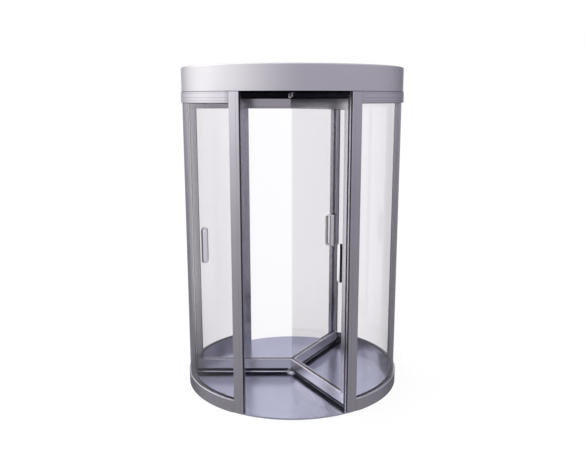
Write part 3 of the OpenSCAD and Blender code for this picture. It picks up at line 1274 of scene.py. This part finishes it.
class BrushTree(ShapeGraph):
    """Fills a strip with bristle tufts that hang from it or stand on it."""

    SEED = 11
    SHIFT = (0.0008, 0.0006)
    LEAN = 0.10
    TWIST = 1.5
    SHORTEST = 0.96
    TUFT_SIDES = 4
    TIP_R = 0.0008
    ROOT_R = 0.0015

    def __init__(self) -> None:
        """Builds the group."""
        super().__init__("bristle_strip", {
            "Length": float, "Width": float, "Height": float, "Columns": int, "Rows": int,
            "Flip": float, "Place": Vector, "Heading": float})
        grid = self.node("GeometryNodeMeshGrid", {
            "Size X": self.inlet["Length"], "Size Y": self.inlet["Width"],
            "Vertices X": self.inlet["Columns"], "Vertices Y": self.inlet["Rows"]})
        along, across = self.SHIFT
        shift = self.random((-along, -across, 0.0), (along, across, 0.0), 1)
        points = self.node("GeometryNodeSetPosition", {0: grid.outputs[0], "Offset": shift})
        tuft = self.node("GeometryNodeMeshCone", {
            "Vertices": self.TUFT_SIDES, "Radius Top": self.TIP_R, "Radius Bottom": self.ROOT_R,
            "Depth": self.inlet["Height"]})
        lean = self.random((-self.LEAN, -self.LEAN / 2, 0.0),
                           (self.LEAN, self.LEAN / 2, self.TWIST), 2)
        turned = self.node("ShaderNodeVectorMath",
                           {0: lean, 1: self.xyz(self.inlet["Flip"], 0.0, 0.0)})
        size = self.random((1.0, 1.0, self.SHORTEST), (1.0, 1.0, 1.0), 3)
        tufts = self.node("GeometryNodeInstanceOnPoints", {
            "Points": points.outputs[0], "Instance": tuft.outputs[0],
            "Rotation": turned.outputs[0], "Scale": size})
        moved = self.node("GeometryNodeTransform",
                          {0: tufts.outputs[0], "Translation": self.inlet["Place"]})
        headed = self.node("GeometryNodeTransform",
                           {0: moved.outputs[0],
                            "Rotation": self.xyz(0.0, 0.0, self.inlet["Heading"])})
        self.end(headed.outputs[0])

    def random(self, low: tuple, high: tuple, seed: int) -> bpy.types.NodeSocket:
        """Adds a random vector with its own fixed seed.

        Args:
            low: The least of each part.
            high: The most of each part.
            seed: What tells this vector's draws from the others.

        Returns:
            The vector.
        """
        made = self.node("FunctionNodeRandomValue", data_type="FLOAT_VECTOR")
        made.inputs[0].default_value = low
        made.inputs[1].default_value = high
        made.inputs["Seed"].default_value = self.SEED + seed
        return made.outputs[0]


@dataclass(frozen=True)
class BrushStrip:
    """Where one of a wing's two brushes is.

    Attributes:
        part: Its name.
        root: The height of the rail's face that holds it.
        tip: The height that its bristles reach.
        hub: The radius where its carrier starts.
        start: The radius where its bristles start.
        plug_start: The radius where the plug at its inner end starts.
        plug_tip: The height that the plug reaches.
        flip: The turn that points the tufts away from the rail.
    """

    part: str
    root: float
    tip: float
    hub: float
    start: float
    plug_start: float
    plug_tip: float
    flip: float = 0.0


@dataclass
class Wing:
    """One glazed wing of the rotor with its rails, seals, brushes and handles."""

    number: int
    layout: Layout
    finishes: Finishes
    brushes: BrushTree
    fitter: Fitter
    thickness: float = 0.045
    stile_w: float = 0.045
    glass_t: float = 0.010
    edge_r: float = 0.0020
    far_edge_r: float = 0.0015
    arris: float = 0.0010
    bead_joint: float = 0.014
    gasket_w: float = 0.0032
    gasket_h: float = 0.0026
    brush_w: float = 0.012
    carrier_w: float = 0.018
    carrier_h: float = 0.008
    column_pitch: float = 0.0030
    brush_rows: int = 4
    tuft_sunk: float = 0.002
    carrier_edge_r: float = 0.002
    core_half: float = 0.0015
    core_short: float = 0.0012
    plug_half: float = 0.006
    plug_edge_r: float = 0.001
    plug_gap: float = 0.0005
    gasket_far_r: float = 0.0005
    gasket_near_r: float = 0.0006
    seal_gap: float = 0.005
    seal_end: float = 0.001
    seal_half: float = 0.007
    seal_foot: float = 0.003
    seal_edge_r: float = 0.001
    notch_depth: float = 0.0045
    notch_half: float = 0.0015
    lip_outer: float = 0.0060
    lip_inner: float = 0.0035
    lip_r: float = 0.0008

    def __post_init__(self) -> None:
        """Reads the wing's place from its CAD nodes."""
        low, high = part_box(f"wing_{self.number}_stile")
        middle = (low + high) / 2
        self.heading = math.atan2(middle.y, middle.x)
        self.stile_r = math.hypot(middle.x, middle.y)
        self.stile_in = self.stile_r - self.stile_w / 2
        self.stile_out = self.stile_r + self.stile_w / 2
        self.glass_low, self.glass_high = low.z, high.z
        self.rail_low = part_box(f"wing_{self.number}_bottom_rail")[0].z
        self.rail_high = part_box(f"wing_{self.number}_top_rail")[1].z
        seal_low, seal_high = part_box(f"wing_{self.number}_seals")
        self.seal_low, self.seal_high = seal_low.z, seal_high.z
        self.seal_r = self.layout.inner_r - self.seal_gap
        self.turn = Matrix.Rotation(self.heading, 4, "Z")

    def at(self, x: float, y: float, z: float) -> Vector:
        """Returns a point given along the wing, across it and up."""
        return self.turn @ Vector((x, y, z))

    def node(self, part: str) -> str:
        """Returns the name of one of the wing's CAD nodes."""
        return f"wing_{self.number}_{part}"

    def fit(self, part: str, meshes: list, material: bpy.types.Material, slot: str,
            replaces: Sequence[str] = ()) -> None:
        """Fits a piece on the rotor."""
        self.fitter.fit(self.node(part), meshes, material, ROTOR, slot,
                        [self.node(name) for name in replaces])

    def mitred(self, outline: Outline, end: float) -> bpy.types.Mesh:
        """Carries a section out from the axis, mitred against the other wings.

        Args:
            outline: The section, across the wing and up.
            end: The radius where the mesh ends.

        Returns:
            The mesh.
        """
        slope = 1 / math.tan(WING_SPACING / 2)
        return prism(outline,
                     lambda y, z, share: self.at(
                         abs(y) * slope * (1 - share) + end * share, y, z), (0.0, 1.0))

    def build(self) -> None:
        """Builds the wing's pieces."""
        self.rails()
        self.stile()
        self.glass()
        self.gaskets()
        self.brush()
        self.edge_seal()
        self.fitting(BowHandle, "bow", "handle")
        self.fitting(PushPlate, "plate", "push_plate")

    def rails(self) -> None:
        """Builds the bottom rail and the top rail."""
        half = self.thickness / 2
        # The bottom rails' tint is lighter as painted light, and the top rails' tint darker as
        # painted shade.
        for part, glass_z, far_z, tint in (
                ("bottom_rail", self.glass_low, self.rail_low, Finishes.WING_BOTTOM_LIT_TINT),
                ("top_rail", self.glass_high, self.rail_high, Finishes.WING_TOP_SHADED_TINT)):
            metal = Finishes.along(self.node(part), tint, self.heading)
            up = 1 if glass_z > far_z else -1
            joint = glass_z - up * self.bead_joint
            wide, deep = JOINT_GROOVE
            corners = [(-half, far_z, self.far_edge_r), (half, far_z, self.far_edge_r),
                       *groove(half, joint, (0, up), wide, deep * up),
                       (half, glass_z, self.edge_r), (-half, glass_z, self.edge_r),
                       *groove(-half, joint, (0, -up), wide, deep * up)]
            rail = self.mitred(Outline.rounded(corners), self.stile_out)
            self.fit(f"{part}_section", [rail], metal, "frame", [part])

    def stile(self) -> None:
        """Builds the outer stile."""
        half = self.thickness / 2
        joint = self.stile_in + self.bead_joint
        outline = Outline.rounded([
            (self.stile_in, -half, self.edge_r),
            *groove(joint, -half, (1, 0), *JOINT_GROOVE),
            (self.stile_out, -half, self.edge_r), (self.stile_out, half, self.edge_r),
            *groove(joint, half, (-1, 0), *JOINT_GROOVE),
            (self.stile_in, half, self.edge_r)])
        mesh = prism(outline, self.at, (self.glass_low, self.glass_high))
        self.fit("stile_section", [mesh], self.finishes.stile, "frame", ["stile"])

    def glass(self) -> None:
        """Builds the pane."""
        half = self.glass_t / 2
        outline = Outline.box((-half, self.glass_low), (half, self.glass_high),
                              (self.arris,) * 4, steps=2)
        self.fit("pane", [self.mitred(outline, self.stile_in)], self.finishes.glass, "glass",
                 ["glass"])

    def gaskets(self) -> None:
        """Builds the black gaskets round the pane, on both faces."""
        face = self.glass_t / 2 + CLEAR
        far_r, near_r = self.gasket_far_r, self.gasket_near_r
        strips = []
        for side in (-1, 1):
            near, far = side * face, side * (face + self.gasket_w)
            for level, up in ((self.glass_low, 1), (self.glass_high, -1)):
                wedge = Outline.rounded([
                    (near, level, 0), (far, level, far_r),
                    (far, level + up * GASKET_TOE, far_r),
                    (near, level + up * self.gasket_h, near_r)], steps=2)
                strips.append(self.mitred(wedge, self.stile_in))
            upright = Outline.rounded([
                (self.stile_in, near, 0), (self.stile_in, far, far_r),
                (self.stile_in - GASKET_TOE, far, far_r),
                (self.stile_in - self.gasket_h, near, near_r)], steps=2)
            strips.append(prism(upright, self.at, (self.glass_low, self.glass_high)))
        self.fit("gaskets", strips, self.finishes.rubber, "seals")

    def brush(self) -> None:
        """Builds the brushes over and under the wing, with their carriers."""
        flange_top = self.layout.floor_top + Floor.flange_h
        bearing_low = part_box("ceiling_bearing")[0].z
        self.brush_strip(BrushStrip(
            "bottom", root=self.rail_low, tip=self.seal_low, hub=0.0175, start=0.0485,
            plug_start=Floor.collar_r + 0.0015, plug_tip=flange_top + 0.0020, flip=math.pi))
        self.brush_strip(BrushStrip(
            "top", root=self.rail_high, tip=self.seal_high, hub=0.0125, start=0.0280,
            plug_start=0.0125, plug_tip=bearing_low - 0.0015))

    def brush_strip(self, strip: BrushStrip) -> None:
        """Builds one brush with its carrier, its core and its plug.

        Args:
            strip: Where the brush is.
        """
        way = math.copysign(1, strip.tip - strip.root)
        shoulder = strip.root + way * self.carrier_h
        length = self.seal_r - self.seal_end - strip.start
        half, carrier_r, plug_r = self.carrier_w / 2, self.carrier_edge_r, self.plug_edge_r
        carrier = Outline.box((-half, strip.root), (half, shoulder),
                              (0, 0, carrier_r, carrier_r))
        core = Outline.box((-self.core_half, shoulder),
                           (self.core_half, strip.tip - way * self.core_short))
        plug = Outline.box((-self.plug_half, shoulder), (self.plug_half, strip.plug_tip),
                           (0, 0, plug_r, plug_r))
        held = [prism(shape, lambda y, z, x: self.at(x, y, z), (inner, outer))
                for shape, inner, outer in (
                    (carrier, strip.hub, self.stile_out), (core, strip.start, self.stile_out),
                    (plug, strip.plug_start, strip.start - self.plug_gap))]
        self.fit(f"{strip.part}_brush_carrier", held, self.finishes.rubber, "seals")
        tufts = self.brushes.run(
            bpy.data.meshes.new("none"), Length=length, Width=self.brush_w,
            Height=abs(strip.tip - shoulder) + self.tuft_sunk, Rows=self.brush_rows,
            Columns=round(length / self.column_pitch), Flip=strip.flip,
            Place=Vector((strip.start + length / 2, 0, shoulder - way * self.tuft_sunk)),
            Heading=self.heading, Material=self.finishes.hair)
        self.fit(f"{strip.part}_bristles", [tufts], self.finishes.hair, "seals")

    def edge_seal(self) -> None:
        """Builds the two-lipped rubber seal along the wing's outer edge."""
        root, tip = self.stile_out, self.seal_r
        lip = [(root, -self.seal_half, 0),
               (root + self.seal_foot, -self.seal_half, self.seal_edge_r),
               (tip, -self.lip_outer, self.lip_r), (tip, -self.lip_inner, self.lip_r),
               (root + self.notch_depth, -self.notch_half, self.seal_edge_r)]
        mirrored = [(x, -y, radius) for x, y, radius in reversed(lip)]
        outline = Outline.rounded(lip + mirrored, steps=3)
        mesh = prism(outline, self.at, (self.seal_low, self.seal_high))
        self.fit("edge_seal", [mesh], self.finishes.rubber, "seals", ["seals"])

    def fitting(self, kind: type["Fitting"], part: str, node: str) -> None:
        """Builds a bright steel fitting, with a strip of painted shade along its outer edge.

        Args:
            kind: What the fitting is.
            part: The name of its bright piece.
            node: The CAD node that it stands for.
        """
        made = kind.of(self)
        self.fit(part, [made.mesh(self.at, -1.0, Fitting.SPLIT)], self.finishes.bright,
                 "handles", [node])
        # The outer part is black rubber: painted shade where the fitting faces the stile.
        self.fit(f"{part}_grip", [made.mesh(self.at, Fitting.SPLIT, 1.0)],
                 self.finishes.rubber, "handles")


@dataclass(frozen=True)
class Fitting:
    """What a wing's handle and push plate share: their place and outline.

    SPLIT is where the outer strip of painted shade starts, from -1 on the axis side to 1 outside.
    """

    middle_r: float
    middle_z: float
    width: float
    length: float
    corner_r: float
    glass_face: float

    WIDTH = 0.048
    CORNER_R = 0.018
    STILE_GAP = 0.020
    SPLIT = 0.40
    JOINT = 0.0002
    JOINT_R = 0.0004

    @classmethod
    def of(cls, wing: Wing) -> "Fitting":
        """Reads the fitting's place from the wing's CAD nodes.

        Args:
            wing: The wing that it is on.

        Returns:
            The fitting.
        """
        low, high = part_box(wing.node("handle"))
        return cls(middle_r=wing.stile_in - cls.STILE_GAP - cls.WIDTH / 2,
                   middle_z=(low.z + high.z) / 2, width=cls.WIDTH, length=high.z - low.z,
                   corner_r=cls.CORNER_R, glass_face=wing.glass_t / 2)

    def half_width(self, from_end: float) -> float:
        """Finds half the outline's width.

        Args:
            from_end: The distance from the outline's end.

        Returns:
            Half the width there.
        """
        flat = self.width / 2 - self.corner_r
        if from_end >= self.corner_r:
            return self.width / 2
        rest = self.corner_r - max(from_end, 0.0)
        return flat + math.sqrt(max(self.corner_r ** 2 - rest ** 2, 0.0))


@dataclass(frozen=True)
class BowHandle(Fitting):
    """A flat bar bent into a bow, with both ends on the glass."""

    reach: float = 0.056
    bar_t: float = 0.012
    bend_r: float = 0.024
    crown: float = 0.003
    edge_r: float = 0.0028
    foot: float = 0.010
    straight: float = 0.020
    face_step: float = 0.0022
    bend_steps: int = 10

    def path(self) -> list[tuple[Vector, Vector]]:
        """Follows the bar's middle line from its upper end to its lower end.

        Returns:
            Points of the line with their outward normals, each as y and z.
        """
        middle = self.bend_r - self.bar_t / 2
        corner_y = self.reach - self.bend_r
        corner_z = self.length / 2 - self.bend_r
        leg_z = self.length / 2 - self.bar_t / 2
        upper = [(Vector((y, leg_z)), Vector((0, 1)))
                 for y in (self.glass_face, self.glass_face + self.foot)]
        for step in range(self.bend_steps + 1):
            angle = math.pi / 2 * (1 - step / self.bend_steps)
            normal = Vector((math.cos(angle), math.sin(angle)))
            upper.append((Vector((corner_y, corner_z)) + normal * middle, normal))
        upper.append((Vector((corner_y + middle, corner_z - self.straight)), Vector((1, 0))))
        mirrored = [(Vector((p.x, -p.y)), Vector((n.x, -n.y))) for p, n in reversed(upper)]
        return upper + mirrored

    def mesh(self, at: Callable[[float, float, float], Vector], near: float,
             far: float) -> bpy.types.Mesh:
        """Builds a part of the bow's width.

        Args:
            at: Gives a point from its places along, across and up the wing.
            near: Where the part starts, from -1 on the axis side to 1 outside.
            far: Where it stops.

        Returns:
            The mesh.
        """
        half_w, half_t = self.width / 2, self.bar_t / 2
        left, right = half_w * near + self.JOINT, half_w * far - self.JOINT
        left_r = self.edge_r if near == -1.0 else self.JOINT_R
        right_r = self.edge_r if far == 1.0 else self.JOINT_R
        section = Outline.box((left, -half_t), (right, half_t),
                              (left_r, right_r, right_r, left_r),
                              steps=5).subdivided(self.face_step)
        rings = []
        for middle, normal in self.path():
            ring = []
            for across, depth in section.points:
                sunk = self.crown * (across / half_w) ** 2 if depth > 0 else 0.0
                place = middle + normal * (depth - sunk)
                from_end = self.length / 2 - abs(place.y)
                scale = self.half_width(from_end) / half_w
                ring.append(at(self.middle_r + across * scale, place.x,
                               self.middle_z + place.y))
            rings.append(ring)
        return Skin().loft(rings, section.wear).mesh()


@dataclass(frozen=True)
class PushPlate(Fitting):
    """A thick plate with round corners and a softly rounded front edge."""

    plate_t: float = 0.015
    edge_r: float = 0.0035
    edge_steps: int = 5
    corner_steps: int = 10

    def mesh(self, at: Callable[[float, float, float], Vector], near: float,
             far: float) -> bpy.types.Mesh:
        """Builds a part of the plate's width.

        Args:
            at: Gives a point from its places along, across and up the wing.
            near: Where the part starts, from -1 on the axis side to 1 outside.
            far: Where it stops.

        Returns:
            The mesh.
        """
        front = self.glass_face + self.plate_t
        layers = [(self.glass_face, 0.0)]
        for step in range(self.edge_steps + 1):
            angle = math.pi / 2 * step / self.edge_steps
            layers.append((front - self.edge_r * (1 - math.sin(angle)),
                           self.edge_r * (1 - math.cos(angle))))
        rings = []
        for depth, inset in layers:
            w, h = self.width / 2, self.length / 2 - inset
            left = w * near + (inset if near == -1.0 else self.JOINT)
            right = w * far - (inset if far == 1.0 else self.JOINT)
            left_r = self.corner_r - inset if near == -1.0 else self.JOINT_R
            # Corner radius of the outer strip of painted shade.
            painted_shade_strip_r = min(self.corner_r, w * (1 - self.SPLIT)) - inset
            right_r = painted_shade_strip_r if far == 1.0 else self.JOINT_R
            outline = Outline.box((left, -h), (right, h), (left_r, right_r, right_r, left_r),
                                  self.corner_steps)
            rings.append([at(self.middle_r + x, -depth, self.middle_z + z)
                          for x, z in outline.points])
        return Skin().loft(rings).mesh()


# ---- The studio ----


@dataclass
class Studio:
    """A pale floor, soft light from the left, and the camera."""

    camera_place: tuple[float, float, float] = (-0.166, -5.286, 2.268)
    camera_pitch: float = math.radians(-11.61)
    camera_yaw: float = math.radians(1.8)
    lens: float = 40.89
    sensor_width: float = 36.0
    shift_x: float = 0.0012
    glow_heading: float = math.radians(170)
    glow_edge: Point = (-0.4, 1.0)
    glow_power: float = 1.6
    ground_fade: float = 0.13
    side_light: Colour = (0.41, 0.39, 0.455)
    glow: Colour = (1.08, 1.06, 1.08)
    ground: Colour = (0.235, 0.23, 0.25)
    overhead: Colour = (0.70, 0.72, 0.78)
    overhead_share: float = 0.6
    overhead_from: float = 0.08
    overhead_full: float = 0.38
    softbox: Colour = (1.10, 1.09, 1.11)
    softbox_top: Colour = (1.75, 1.75, 1.78)
    softbox_heading: float = math.radians(148)
    softbox_edge: Point = (0.82, 0.96)
    softbox_foot: Point = (-0.36, -0.26)
    strength: float = 1.8
    floor_size: float = 300.0
    floor_scale: float = 0.8
    floor_tone: Point = (0.085, 0.090)
    floor_glow: float = 0.905

    def build(self) -> None:
        """Builds the studio."""
        self.camera()
        self.world()
        self.floor()
        bpy.context.scene.view_settings.view_transform = "Standard"

    def camera(self) -> None:
        """Places the camera."""
        data = bpy.data.cameras.new("camera")
        data.lens = self.lens
        data.sensor_width = self.sensor_width
        data.shift_x = self.shift_x
        camera = bpy.data.objects.new("camera", data)
        camera.location = self.camera_place
        camera.rotation_euler = (math.pi / 2 + self.camera_pitch, 0, -self.camera_yaw)
        bpy.context.scene.collection.objects.link(camera)
        bpy.context.scene.camera = camera

    def world(self) -> None:
        """Lights the door from all round, and shows plain white behind it."""
        world = bpy.data.worlds.new("studio")
        bpy.context.scene.world = world
        world.use_nodes = True
        graph = Graph(world.node_tree)
        way = graph.node("ShaderNodeTexCoord").outputs["Generated"]
        x, y, z = graph.node("ShaderNodeSeparateXYZ", {0: way}).outputs
        flat = graph.length_of(x, y)
        glow = graph.math("POWER", self.facing(graph, x, y, flat, self.glow_heading,
                                               self.glow_edge), self.glow_power)
        sides = graph.mix(glow, (*self.side_light, 1), (*self.glow, 1))
        fade = graph.math("EXPONENT", graph.math("DIVIDE", graph.math("MINIMUM", z, 0.0),
                                                 self.ground_fade))
        around = graph.mix(fade, (*self.ground, 1), sides)
        height = graph.spread(z, self.overhead_from, self.overhead_full, 0.0,
                              self.overhead_share)
        above = graph.mix(height, around, (*self.overhead, 1))
        boxed = graph.math("MULTIPLY", self.facing(graph, x, y, flat, self.softbox_heading,
                                                   self.softbox_edge),
                           graph.spread(z, *self.softbox_foot))
        tall = graph.spread(z, self.overhead_from, self.overhead_full)
        softbox = graph.mix(tall, (*self.softbox, 1), (*self.softbox_top, 1))
        light = graph.node("ShaderNodeBackground", {"Color": graph.mix(boxed, above, softbox),
                                                    "Strength": self.strength})
        white = graph.node("ShaderNodeBackground", {"Color": (1, 1, 1, 1), "Strength": 1.0})
        seen = graph.node("ShaderNodeLightPath").outputs["Is Camera Ray"]
        mixed = graph.node("ShaderNodeMixShader", {0: seen, 1: light.outputs[0],
                                                   2: white.outputs[0]})
        graph.node("ShaderNodeOutputWorld", {0: mixed.outputs[0]})

    @staticmethod
    def facing(graph: Graph, x: Value, y: Value, flat: Value, heading: float,
               edge: Point) -> bpy.types.NodeSocket:
        """Returns how far a direction is towards a heading.

        Args:
            graph: The world's nodes.
            x: The direction's first part.
            y: Its second part.
            flat: The length of both together.
            heading: The angle about Z to compare with.
            edge: The cosines at which the result is 0 and 1.

        Returns:
            The result, from 0 to 1.
        """
        towards = graph.math("ADD", graph.math("MULTIPLY", x, math.cos(heading)),
                             graph.math("MULTIPLY", y, math.sin(heading)))
        cosine = graph.math("DIVIDE", towards, graph.math("MAXIMUM", flat, 0.001))
        return graph.spread(cosine, *edge)

    def floor(self) -> None:
        """Lays the pale floor, which only the camera sees."""
        size = self.floor_size
        sheet = Sheet("pale_floor")
        grey = sheet.spread(sheet.noise(sheet.object, self.floor_scale), *NOISE_RANGE,
                            *self.floor_tone)
        lit = sheet.node("ShaderNodeBsdfDiffuse", {0: sheet.shade((1, 1, 1), grey)})
        glow = sheet.node("ShaderNodeEmission",
                          {"Color": (1, 1, 1, 1), "Strength": self.floor_glow})
        both = sheet.node("ShaderNodeAddShader", {0: lit.outputs[0], 1: glow.outputs[0]})
        mesh = bpy.data.meshes.new("pale_floor")
        mesh.from_pydata([(-size, -size, 0), (size, -size, 0), (size, size, 0),
                          (-size, size, 0)], [], [(0, 1, 2, 3)])
        mesh.materials.append(sheet.finish(both.outputs[0]))
        floor = bpy.data.objects.new("pale_floor", mesh)
        floor.visible_glossy = False
        floor.visible_diffuse = False
        bpy.context.scene.collection.objects.link(floor)


def main() -> None:
    """Builds the studio and the door, and logs how many pieces were fitted."""
    logging.basicConfig(level=logging.INFO, format="%(name)s: %(message)s")
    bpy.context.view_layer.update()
    Studio().build()
    layout = Layout.read()
    finishes = Finishes.make()
    bender, screws, brushes, fitter = Bender(), ScrewRing(), BrushTree(), Fitter()
    DrumWalls(layout, finishes, bender, fitter).build()
    Canopy(layout, finishes, bender, screws, fitter).build()
    Floor(layout, finishes, bender, fitter).build()
    for number in (1, 2, 3):
        Wing(number, layout, finishes, brushes, fitter).build()
    # The pivots' dark steel is painted shade at the hub.
    fitter.dress(["bottom_pivot", "top_pivot"], finishes.dark)
    log.info("%d pieces fitted", fitter.count)


if __name__ == "__main__":
    main()
